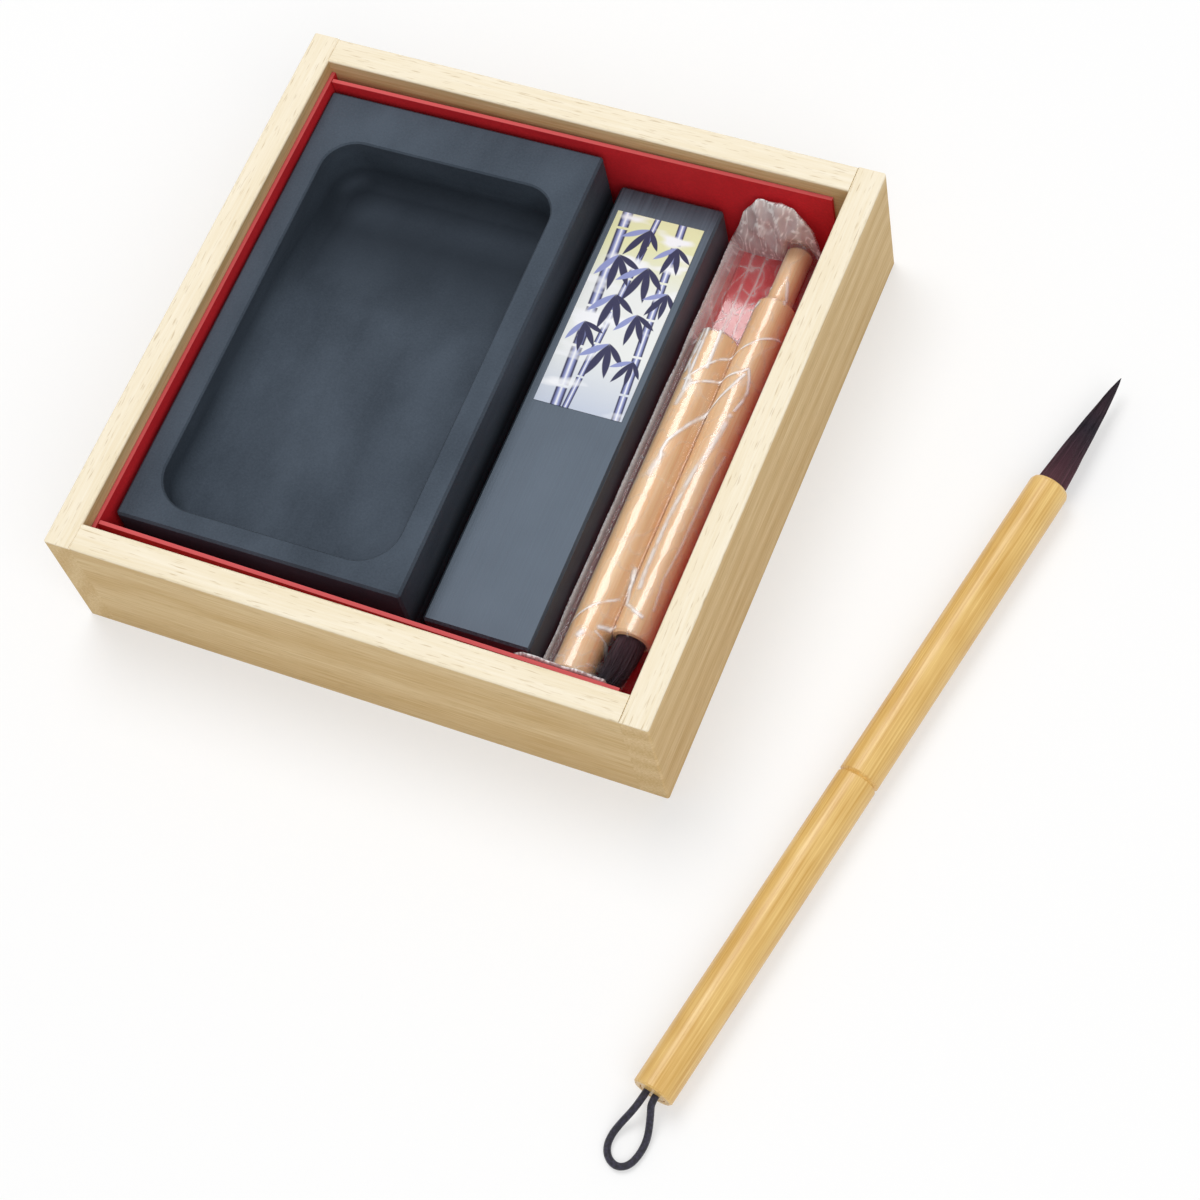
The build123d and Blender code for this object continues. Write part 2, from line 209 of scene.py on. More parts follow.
def makeStage():
    world = bpy.data.worlds.new("studio")
    world.use_nodes = True
    bpy.context.scene.world = world
    background = world.node_tree.nodes["Background"]
    setInputs(world.node_tree, background, {"Color": srgb("#FFFFFF"),
                                            "Strength": lightSettings["worldStrength"]})

    for name, (place, width, power) in lightSettings["lamps"].items():
        data = bpy.data.lights.new(name, "AREA")
        data.shape = "DISK"
        data.size = width
        data.energy = power
        lamp = bpy.data.objects.new(name, data)
        bpy.context.scene.collection.objects.link(lamp)
        place = Vector(place)
        turn = (-place).to_track_quat("-Z", "Y").to_matrix()
        lamp.matrix_world = Matrix.Translation(place) @ turn.to_4x4()

    half = lightSettings["sweepHalf"]
    corners = [(-half, -half, 0), (half, -half, 0), (half, half, 0), (-half, half, 0)]
    mesh = bpy.data.meshes.new("sweep")
    mesh.from_pydata(corners, [], [(0, 1, 2, 3)])
    sweep = bpy.data.objects.new("sweep", mesh)
    bpy.context.scene.collection.objects.link(sweep)

    # Matt white paper. The camera, and what mirrors or shows the floor, see it lifted to white.
    material, tree, shader = newMaterial("white paper sweep")
    setInputs(tree, shader, {"Base Color": srgb("#FAFAFA"), "Roughness": 0.9})
    rays = addNode(tree, "ShaderNodeLightPath")
    seen = rays.outputs["Is Camera Ray"]
    for kind in ("Is Glossy Ray", "Is Transmission Ray"):
        either = addNode(tree, "ShaderNodeMath", {0: seen, 1: rays.outputs[kind]}, operation="MAXIMUM")
        seen = either.outputs[0]
    share = addNode(tree, "ShaderNodeMath", {0: seen, 1: lightSettings["floorWhite"]}, operation="MULTIPLY")
    glow = addNode(tree, "ShaderNodeEmission", {"Color": srgb("#FFFFFF"), "Strength": 1.0})
    mix = addNode(tree, "ShaderNodeMixShader",
                  {0: share.outputs[0], 1: shader.outputs[0], 2: glow.outputs[0]})
    setInputs(tree, tree.nodes["Material Output"], {"Surface": mix.outputs[0]})
    mesh.materials.append(material)


makeStage()
bpy.context.scene.view_settings.view_transform = "Standard"
print("stage done")


# The box: bare sawn and sanded paulownia, light and open-grained. To the eye that is a
# dry cream board with soft growth bands, silky fibres and short brown pore lines.
woodSettings = {
    "pale": "#DEC597",
    "band": "#C6A56F",
    "litTopPale": "#F8EED8",  # painted light: the upper faces are coloured paler, as if lit from above
    "litTopBand": "#EEDFBF",
    "pore": "#B2935F",
    "ring": 6.5,  # mm from one growth ring to the next
    "pith": (70, 45),  # mm from the box's middle to the heart of the tree, across and down
    "fibre": (0.5, 16),  # mm across and along the grain
    "poreSize": (0.35, 4.0),
    "litTopHeight": 29.9,  # above this the colour is the paler one painted as light on the upper faces
    "drift": (12, 60),  # mm across and along, over which the rings wander
    "driftBy": 7,  # mm
    "ringShare": 0.22,  # how much the rings and the fibres each colour the board
    "fibreShare": 0.95,
}


def makeBoxWood(name, alongX):
    settings = woodSettings
    material, tree, shader = newMaterial(name)
    place = addNode(tree, "ShaderNodeTexCoord").outputs["Object"]

    def alongGrain(across, along):  # the size of a grain as a scale for its Mapping node
        sizes = (along, across, across) if alongX else (across, along, across)
        return [size * mm for size in sizes]

    def stretchedNoise(size, detail):
        space = addNode(tree, "ShaderNodeMapping", {"Vector": place, "Scale": alongGrain(*size)},
                        vector_type="TEXTURE")
        return addNode(tree, "ShaderNodeTexNoise",
                       {"Vector": space.outputs[0], "Scale": 1.0, "Detail": detail}).outputs

    drift = stretchedNoise(settings["drift"], 2.0)
    side, down = settings["pith"]
    heart = (0, side * mm, -down * mm) if alongX else (side * mm, 0, -down * mm)
    fromHeart = addNode(tree, "ShaderNodeMapping", {"Vector": place, "Location": heart},
                        vector_type="TEXTURE")
    shifted = addNode(tree, "ShaderNodeVectorMath",
                      {0: drift["Color"], 1: (settings["driftBy"] * mm,) * 3}, operation="MULTIPLY_ADD")
    tree.links.new(fromHeart.outputs[0], shifted.inputs[2])
    bands = addNode(tree, "ShaderNodeTexWave",
                    {"Vector": shifted.outputs[0], "Scale": wavesOf(settings["ring"])},
                    wave_type="RINGS", rings_direction="X" if alongX else "Y", wave_profile="SIN")

    fibre = stretchedNoise(settings["fibre"], 3.0)["Fac"]
    pores = stretchedNoise(settings["poreSize"], 1.0)["Fac"]
    poreLines = addNode(tree, "ShaderNodeMapRange", {"Value": pores, "From Min": 0.62,
                                                     "From Max": 0.76, "To Max": 0.45})

    tone = addNode(tree, "ShaderNodeMath", {0: bands.outputs["Fac"], 1: settings["ringShare"]},
                   operation="MULTIPLY")
    tone = addNode(tree, "ShaderNodeMath", {0: fibre, 1: settings["fibreShare"], 2: tone.outputs[0]},
                   operation="MULTIPLY_ADD")
    sides = addNode(tree, "ShaderNodeValToRGB", {"Fac": tone.outputs[0]},
                    ramp=[(0.3, settings["pale"]), (0.85, settings["band"])])
    # Painted light: a paler copy of the board's colours for the upper faces, standing in for the light from
    # above.
    litTopColour = addNode(tree, "ShaderNodeValToRGB", {"Fac": tone.outputs[0]},
                    ramp=[(0.3, settings["litTopPale"]), (0.85, settings["litTopBand"])])
    height = addNode(tree, "ShaderNodeSeparateXYZ", {"Vector": place})
    onLitTop = addNode(tree, "ShaderNodeMapRange", {"Value": height.outputs["Z"],
                                                  "From Min": settings["litTopHeight"] * mm,
                                                  "From Max": (settings["litTopHeight"] + 0.4) * mm})
    plain = addNode(tree, "ShaderNodeMix", {0: onLitTop.outputs["Result"], 6: sides.outputs["Color"],
                                            7: litTopColour.outputs["Color"]}, data_type="RGBA")
    withPores = addNode(tree, "ShaderNodeMix", {0: poreLines.outputs["Result"], 6: plain.outputs[2],
                                                7: srgb(settings["pore"])}, data_type="RGBA")
    rough = addNode(tree, "ShaderNodeMapRange", {"Value": fibre, "To Min": 0.62, "To Max": 0.8})
    relief = addNode(tree, "ShaderNodeMath", {0: fibre, 1: poreLines.outputs["Result"]}, operation="SUBTRACT")
    finishSurface(tree, shader, withPores.outputs[2], rough.outputs["Result"], relief.outputs[0], 0.5, 0.08,
                  {"Specular IOR Level": 0.3})
    return material


paint(makeBoxWood("sanded paulownia along X", True), "front_wall", "back_wall", "bottom_board")
paint(makeBoxWood("sanded paulownia along Y", False), "left_wall", "right_wall")
print("box done")


# The tray: dyed solid card with a matt red face. It looks even and soft, a little
# fibrous, and its cut edge is a little paler. The photograph shows nothing of its right
# panel, so this tray has a lower one than the CAD's.
cardSettings = {
    "face": "#DE2A33",
    "shade": "#C41F28",
    "core": "#D65A5C",
    "fibre": 0.6,
    "cloud": 14,
    "cutHeight": 26.9,  # the cut upper edge starts here
    "rightPanel": (53.5, 18.0),  # it stands beyond this x, and its top is at this z
}


def makeCard():
    settings = cardSettings
    material, tree, shader = newMaterial("dyed red card")
    place = addNode(tree, "ShaderNodeTexCoord").outputs["Object"]
    fibres = addNode(tree, "ShaderNodeTexNoise", {"Vector": place, "Scale": 1 / (settings["fibre"] * mm),
                                                  "Detail": 4.0, "Roughness": 0.65})
    clouds = addNode(tree, "ShaderNodeTexNoise", {"Vector": place, "Scale": 1 / (settings["cloud"] * mm),
                                                  "Detail": 2.0})
    tone = addNode(tree, "ShaderNodeMath", {0: fibres.outputs["Fac"], 1: clouds.outputs["Fac"]},
                   operation="MULTIPLY")
    face = addNode(tree, "ShaderNodeValToRGB", {"Fac": tone.outputs[0]},
                   ramp=[(0.12, settings["shade"]), (0.4, settings["face"])])
    height = addNode(tree, "ShaderNodeSeparateXYZ", {"Vector": place})
    cut = addNode(tree, "ShaderNodeMapRange", {"Value": height.outputs["Z"],
                                               "From Min": settings["cutHeight"] * mm,
                                               "From Max": (settings["cutHeight"] + 0.08) * mm})
    colour = addNode(tree, "ShaderNodeMix", {0: cut.outputs["Result"], 6: face.outputs["Color"],
                                             7: srgb(settings["core"])}, data_type="RGBA")
    rough = addNode(tree, "ShaderNodeMapRange", {"Value": fibres.outputs["Fac"], "To Min": 0.6,
                                                 "To Max": 0.8})
    finishSurface(tree, shader, colour.outputs[2], rough.outputs["Result"], fibres.outputs["Fac"], 0.35, 0.06,
                  {"Specular IOR Level": 0.25})

    tray = bmesh.new()
    tray.from_mesh(nodes["card_tray"].data)
    bmesh.ops.remove_doubles(tray, verts=tray.verts, dist=0.001 * mm)
    panelStart, panelTop = settings["rightPanel"]
    for corner in tray.verts:
        if corner.co.x > panelStart * mm and corner.co.z > settings["cutHeight"] * mm:
            corner.co.z = panelTop * mm
    mesh = bpy.data.meshes.new("folded_tray")
    tray.to_mesh(mesh)
    tray.free()
    mesh.materials.append(material)
    putInScene("folded_tray", mesh, "tray", ["card_tray"])


makeCard()
print("tray done")


# The inkstone: honed slate. It is dull blue-black with faint clouds, a fine grit that
# breaks up the light and a few pale specks.
slateSettings = {
    "dark": "#2E353D",
    "light": "#434C56",
    "speck": "#4C555E",
    "soot": "#12161B",  # old ink and painted shade darken the deep end, and so far also the outer sides at that height
    "sea": (13.0, 17.6),  # z of the deep end's floor, and of the shallow one
    "cloud": 16,
    "grit": 0.45,
}


def makeSlate():
    settings = slateSettings
    material, tree, shader = newMaterial("honed slate")
    place = addNode(tree, "ShaderNodeTexCoord").outputs["Object"]
    layered = addNode(tree, "ShaderNodeMapping", {"Vector": place, "Scale": (1, 1.8, 0.5)},
                      vector_type="TEXTURE")
    clouds = addNode(tree, "ShaderNodeTexNoise", {"Vector": layered.outputs[0],
                                                  "Scale": 1 / (settings["cloud"] * mm), "Detail": 4.0})
    grit = addNode(tree, "ShaderNodeTexNoise", {"Vector": place, "Scale": 1 / (settings["grit"] * mm),
                                                "Detail": 3.0, "Roughness": 0.7})
    tone = addNode(tree, "ShaderNodeMath", {0: grit.outputs["Fac"], 1: 0.45, 2: clouds.outputs["Fac"]},
                   operation="MULTIPLY_ADD")
    base = addNode(tree, "ShaderNodeValToRGB", {"Fac": tone.outputs[0]},
                   ramp=[(0.5, settings["dark"]), (0.95, settings["light"])])
    specks = addNode(tree, "ShaderNodeMapRange", {"Value": grit.outputs["Fac"], "From Min": 0.7,
                                                  "From Max": 0.8, "To Max": 0.4})
    colour = addNode(tree, "ShaderNodeMix", {0: specks.outputs["Result"], 6: base.outputs["Color"],
                                             7: srgb(settings["speck"])}, data_type="RGBA")
    height = addNode(tree, "ShaderNodeSeparateXYZ", {"Vector": place})
    deep, shallow = settings["sea"]
    # Old ink with painted shade: the stone is darker towards the bottom of the slope, below the shallow end's
    # height.
    inkStainAndShade = addNode(tree, "ShaderNodeMapRange", {"Value": height.outputs["Z"], "From Min": deep * mm,
                                                 "From Max": shallow * mm, "To Min": 0.8, "To Max": 0.0})
    inside = addNode(tree, "ShaderNodeMath", {0: height.outputs["Z"], 1: (deep - 1) * mm},
                     operation="GREATER_THAN")
    inkStainAndShade = addNode(tree, "ShaderNodeMath", {0: inkStainAndShade.outputs["Result"], 1: inside.outputs[0]},
                    operation="MULTIPLY")
    colour = addNode(tree, "ShaderNodeMix", {0: inkStainAndShade.outputs[0], 6: colour.outputs[2],
                                             7: srgb(settings["soot"])}, data_type="RGBA")
    rough = addNode(tree, "ShaderNodeMapRange", {"Value": tone.outputs[0], "From Min": 0.4, "From Max": 1.0,
                                                 "To Min": 0.72, "To Max": 0.58})
    finishSurface(tree, shader, colour.outputs[2], rough.outputs["Result"], grit.outputs["Fac"], 0.4, 0.05,
                  {"Specular IOR Level": 0.6, "Specular Tint": srgb("#C3D6F0")})
    paint(material, "inkstone")


makeSlate()
print("inkstone done")


# The ink stick: soot and glue pressed in a wooden mould. It has a satin, slate-grey skin
# with fine lengthwise lines from the mould.
inkSettings = {
    "dark": "#2E353D",
    "light": "#46505A",
    "line": (0.45, 22),  # mm across and along the stick
    "cloud": 11,
    "turn": 0.4,  # degrees, as the stick lies
}


def makeInk():
    settings = inkSettings
    material, tree, shader = newMaterial("pressed soot ink")
    place = addNode(tree, "ShaderNodeTexCoord").outputs["Object"]
    width, length = settings["line"]
    stretched = addNode(tree, "ShaderNodeMapping",
                        {"Vector": place, "Rotation": (0, 0, math.radians(settings["turn"])),
                         "Scale": (width * mm, length * mm, width * mm)}, vector_type="TEXTURE")
    lines = addNode(tree, "ShaderNodeTexNoise", {"Vector": stretched.outputs[0], "Scale": 1.0, "Detail": 3.0})
    clouds = addNode(tree, "ShaderNodeTexNoise", {"Vector": place, "Scale": 1 / (settings["cloud"] * mm),
                                                  "Detail": 2.0})
    tone = addNode(tree, "ShaderNodeMath", {0: clouds.outputs["Fac"], 1: 0.35, 2: lines.outputs["Fac"]},
                   operation="MULTIPLY_ADD")
    colour = addNode(tree, "ShaderNodeValToRGB", {"Fac": tone.outputs[0]},
                     ramp=[(0.45, settings["dark"]), (0.9, settings["light"])])
    rough = addNode(tree, "ShaderNodeMapRange", {"Value": lines.outputs["Fac"], "To Min": 0.36,
                                                 "To Max": 0.52})
    finishSurface(tree, shader, colour.outputs["Color"], rough.outputs["Result"], lines.outputs["Fac"], 0.35,
                  0.06, {"Specular IOR Level": 0.9, "Specular Tint": srgb("#C9DAF0")})
    paint(material, "ink_stick")


makeInk()
print("ink stick done")


# The handles: turned wood under thin clear varnish. Each is honey or peach coloured with
# fine lengthwise streaks, and the varnish gives it a soft long highlight.
handleSettings = {
    "loose": {"pale": "#F0CC82", "deep": "#CC9A45", "turn": 78.6},
    "packed": {"pale": "#FFE6B8", "deep": "#F8C88C", "turn": 90.0},
    "streak": (0.35, 18),
    "cloud": 9,
}


def makeHandle(kind, *names):
    settings = handleSettings[kind]
    material, tree, shader = newMaterial("varnished wood, " + kind)
    place = addNode(tree, "ShaderNodeTexCoord").outputs["Object"]
    width, length = handleSettings["streak"]
    stretched = addNode(tree, "ShaderNodeMapping",
                        {"Vector": place, "Rotation": (0, 0, math.radians(settings["turn"])),
                         "Scale": (length * mm, width * mm, width * mm)}, vector_type="TEXTURE")
    streaks = addNode(tree, "ShaderNodeTexNoise",
                      {"Vector": stretched.outputs[0], "Scale": 1.0, "Detail": 3.0})
    clouds = addNode(tree, "ShaderNodeTexNoise",
                     {"Vector": place, "Scale": 1 / (handleSettings["cloud"] * mm), "Detail": 1.0})
    tone = addNode(tree, "ShaderNodeMath", {0: clouds.outputs["Fac"], 1: 0.4, 2: streaks.outputs["Fac"]},
                   operation="MULTIPLY_ADD")
    colour = addNode(tree, "ShaderNodeValToRGB", {"Fac": tone.outputs[0]},
                     ramp=[(0.4, settings["pale"]), (1.0, settings["deep"])])
    rough = addNode(tree, "ShaderNodeMapRange", {"Value": streaks.outputs["Fac"], "To Min": 0.34,
                                                 "To Max": 0.5})
    finishSurface(tree, shader, colour.outputs["Color"], rough.outputs["Result"], streaks.outputs["Fac"], 0.3,
                  0.03, {"Coat Weight": 0.35, "Coat Roughness": 0.25})
    paint(material, *names)


makeHandle("loose", "front_handle", "rear_handle", "end_plug")
makeHandle("packed", "packed_front_handle", "packed_rear_handle", "packed_end_plug")
print("handles done")


# The label: printed paper glued on the stick. It is matt, and its own design is bamboo in
# mist, in indigo, lavender and white on a pale ground.
labelSettings = {
    "middle": (19.1, 25.4),
    "turn": 0.9,
    "sky": "#E3E4B4",
    "mist": "#E9ECEB",
    "water": "#C3CCDD",
    "indigo": "#262650",
    "lavender": "#8E97CC",
    "white": "#F4F6FA",
    "stalks": [  # middle, width, length of a joint, lean in degrees
        (-5.9, 2.3, 9.5, 3.0),
        (-1.6, 1.4, 8.0, -2.5),
        (6.4, 1.8, 8.8, 4.0),
    ],
    "sprays": [  # where a spray of leaves hangs from, its size, and its first leaf's turn in degrees
        (-1.2, 20.4, 1.0, -150),
        (5.6, 17.8, 0.9, -135),
        (-5.2, 13.2, 1.1, -120),
        (1.6, 11.8, 1.15, -140),
        (7.6, 7.0, 0.85, -150),
        (-2.4, 4.2, 1.1, -130),
        (3.4, 0.8, 0.95, -125),
        (-6.2, -3.4, 0.9, -115),
        (0.6, -7.0, 1.1, -140),
        (6.6, -9.6, 0.8, -150),
    ],
    "leaves": [  # length, width, turn from the spray's first leaf, colour
        (6.2, 1.35, 0, "lavender"),
        (8.0, 1.6, 34, "indigo"),
        (7.4, 1.5, 62, "indigo"),
        (5.6, 1.25, 94, "indigo"),
    ],
}


def leafGroup():  # 1 inside a pointed leaf that reaches from -1 to 1 along X and across Y
    group = bpy.data.node_groups.new("leaf shape", "ShaderNodeTree")
    group.interface.new_socket("Vector", in_out="INPUT", socket_type="NodeSocketVector")
    group.interface.new_socket("Inside", in_out="OUTPUT", socket_type="NodeSocketFloat")
    start = addNode(group, "NodeGroupInput")
    parts = addNode(group, "ShaderNodeSeparateXYZ", {"Vector": start.outputs["Vector"]})
    bow = addNode(group, "ShaderNodeMath", {0: parts.outputs["X"], 1: parts.outputs["X"]},
                  operation="MULTIPLY")
    across = addNode(group, "ShaderNodeMath", {0: parts.outputs["Y"]}, operation="ABSOLUTE")
    reach = addNode(group, "ShaderNodeMath", {0: bow.outputs[0], 1: across.outputs[0]}, operation="ADD")
    inside = addNode(group, "ShaderNodeMapRange", {"Value": reach.outputs[0], "From Min": 0.85,
                                                   "From Max": 1.05, "To Min": 1.0, "To Max": 0.0})
    addNode(group, "NodeGroupOutput", {"Inside": inside.outputs["Result"]})
    return group


def makeLabel():
    settings = labelSettings
    material, tree, shader = newMaterial("printed label paper")
    place = addNode(tree, "ShaderNodeTexCoord").outputs["Object"]
    x, y = settings["middle"]
    page = addNode(tree, "ShaderNodeMapping",
                   {"Vector": place, "Location": (x * mm, y * mm, 0),
                    "Rotation": (0, 0, math.radians(settings["turn"])), "Scale": (mm, mm, mm)},
                   vector_type="TEXTURE").outputs[0]  # millimetres from the label's middle
    parts = addNode(tree, "ShaderNodeSeparateXYZ", {"Vector": page})
    ground = addNode(tree, "ShaderNodeMapRange", {"Value": parts.outputs["Y"], "From Min": -23,
                                                  "From Max": 23})
    colour = addNode(tree, "ShaderNodeValToRGB", {"Fac": ground.outputs["Result"]},
                     ramp=[(0.0, settings["water"]), (0.3, settings["mist"]), (0.62, settings["mist"]),
                           (0.85, settings["sky"])]).outputs["Color"]

    for middle, width, joint, lean in settings["stalks"]:
        stalk = addNode(tree, "ShaderNodeMapping",
                        {"Vector": page, "Location": (middle, 0, 0), "Rotation": (0, 0, math.radians(lean)),
                         "Scale": (width / 2, joint, 1)}, vector_type="TEXTURE")
        across = addNode(tree, "ShaderNodeSeparateXYZ", {"Vector": stalk.outputs[0]})
        side = addNode(tree, "ShaderNodeMath", {0: across.outputs["X"]}, operation="ABSOLUTE")
        inside = addNode(tree, "ShaderNodeMapRange", {"Value": side.outputs[0], "From Min": 0.9,
                                                      "From Max": 1.1, "To Min": 1.0, "To Max": 0.0})
        part = addNode(tree, "ShaderNodeMath", {0: across.outputs["Y"]}, operation="FRACT")
        cane = addNode(tree, "ShaderNodeMath", {0: part.outputs[0], 1: 0.06}, operation="GREATER_THAN")
        mask = addNode(tree, "ShaderNodeMath", {0: inside.outputs["Result"], 1: cane.outputs[0]},
                       operation="MULTIPLY")
        tint = addNode(tree, "ShaderNodeValToRGB", {"Fac": side.outputs[0]},
                       ramp=[(0.0, settings["white"]), (0.35, settings["lavender"]),
                             (0.8, settings["indigo"])])
        colour = addNode(tree, "ShaderNodeMix", {0: mask.outputs[0], 6: colour, 7: tint.outputs["Color"]},
                         data_type="RGBA").outputs[2]

    # Mist hides parts of the stalks, and the leaves hang in front of it.
    drift = addNode(tree, "ShaderNodeMapping", {"Vector": page, "Scale": (11, 4.5, 1)},
                    vector_type="TEXTURE")
    cloud = addNode(tree, "ShaderNodeTexNoise", {"Vector": drift.outputs[0], "Scale": 1.0, "Detail": 2.0})
    mist = addNode(tree, "ShaderNodeMapRange", {"Value": cloud.outputs["Fac"], "From Min": 0.56,
                                                "From Max": 0.68})
    colour = addNode(tree, "ShaderNodeMix",
                     {0: mist.outputs["Result"], 6: colour, 7: srgb(settings["white"])},
                     data_type="RGBA").outputs[2]

    shape = leafGroup()
    for x, y, size, first in settings["sprays"]:
        for length, width, spread, tint in settings["leaves"]:
            turn = math.radians(first + spread)
            half = length * size / 2
            middle = (x + half * math.cos(turn), y + half * math.sin(turn), 0)
            leaf = addNode(tree, "ShaderNodeMapping",
                           {"Vector": page, "Location": middle, "Rotation": (0, 0, turn),
                            "Scale": (half, width * size / 2, 1)}, vector_type="TEXTURE")
            inside = addNode(tree, "ShaderNodeGroup", node_tree=shape)
            tree.links.new(leaf.outputs[0], inside.inputs[0])
            colour = addNode(tree, "ShaderNodeMix",
                             {0: inside.outputs[0], 6: colour, 7: srgb(settings[tint])},
                             data_type="RGBA").outputs[2]

    grain = addNode(tree, "ShaderNodeTexNoise", {"Vector": page, "Scale": 1 / 0.35, "Detail": 2.0})
    rough = addNode(tree, "ShaderNodeMapRange", {"Value": grain.outputs["Fac"], "To Min": 0.45,
                                                 "To Max": 0.6})
    finishSurface(tree, shader, colour, rough.outputs["Result"], grain.outputs["Fac"], 0.2, 0.02,
                  {"Specular IOR Level": 0.35})
    paint(material, "ink_stick_label")


makeLabel()
print("label done")


# The thread round the root of each tuft: thin red-brown cotton, wound close.
threadSettings = {"pitch": 0.35, "light": "#8A453C", "dark": "#47201F"}


def makeThread(name, turn):
    material, tree, shader = newMaterial("wound cotton thread, " + name)
    place = addNode(tree, "ShaderNodeTexCoord").outputs["Object"]
    ahead = addNode(tree, "ShaderNodeMapping", {"Vector": place, "Rotation": (0, 0, math.radians(turn))},
                    vector_type="TEXTURE")
    turns = addNode(tree, "ShaderNodeTexWave",
                    {"Vector": ahead.outputs[0], "Scale": wavesOf(threadSettings["pitch"])})
    colour = addNode(tree, "ShaderNodeValToRGB", {"Fac": turns.outputs["Fac"]},
                     ramp=[(0.2, threadSettings["dark"]), (0.7, threadSettings["light"])])
    finishSurface(tree, shader, colour.outputs["Color"], 0.7, turns.outputs["Fac"], 1.0, 0.1)
    paint(material, name)


makeThread("tuft_binding", 78.6)
makeThread("packed_tuft_binding", 90)
print("thread done")


# The tufts: fine dyed hairs, bound at the root and drawn to a point. They are maroon
# where they spread, nearly black where they close, and a little paler near the tip.
tuftSettings = {
    "goldenAngle": 2.39996,  # radians from one hair to the next, round the bundle
    "shortest": 0.86,  # the shortest hair's share of the longest
    "loose": {"hairs": 1700, "points": 12, "hairRadius": 0.06, "waviness": 0.16, "seed": 4,
              "joint": (95.3, -49.2, 4.0), "turn": 78.6, "mouth": 70.8, "length": 27.6,
              "rootRadius": 2.6, "radius": 2.95, "taper": 0.71, "stations": 25},
    "packed": {"hairs": 900, "points": 12, "hairRadius": 0.065, "waviness": 0.3, "seed": 9,
               "stations": [  # x, y and the bundle's radius, as in the CAD
                   (46.10, -31.5, 2.60), (46.10, -35.8, 2.62), (46.05, -40.0, 3.00), (45.60, -45.0, 2.65),
                   (44.40, -49.5, 1.95), (40.40, -51.7, 1.35), (32.90, -52.3, 0.30)],
               "height": 8.25},
    "colours": [(0.0, "#6A3C47"), (0.28, "#4A2835"), (0.55, "#231728"), (0.72, "#3B2330"), (1.0, "#1A1220")],
}


def makeHair():
    material, tree, shader = newMaterial("dyed goat hair")
    along = addNode(tree, "ShaderNodeAttribute", attribute_name="along")
    shade = addNode(tree, "ShaderNodeAttribute", attribute_name="shade")
    colour = addNode(tree, "ShaderNodeValToRGB", {"Fac": along.outputs["Fac"]}, ramp=tuftSettings["colours"])
    light = addNode(tree, "ShaderNodeMapRange", {"Value": shade.outputs["Fac"], "To Min": 0.55,
                                                 "To Max": 1.5})
    varied = addNode(tree, "ShaderNodeVectorMath", {0: colour.outputs["Color"], 1: light.outputs["Result"]},
                     operation="MULTIPLY")
    rough = addNode(tree, "ShaderNodeMapRange", {"Value": shade.outputs["Fac"], "To Min": 0.36,
                                                 "To Max": 0.55})
    setInputs(tree, shader, {"Base Color": varied.outputs["Vector"], "Roughness": rough.outputs["Result"],
                             "Sheen Weight": 0.1, "Sheen Roughness": 0.4})
    return material


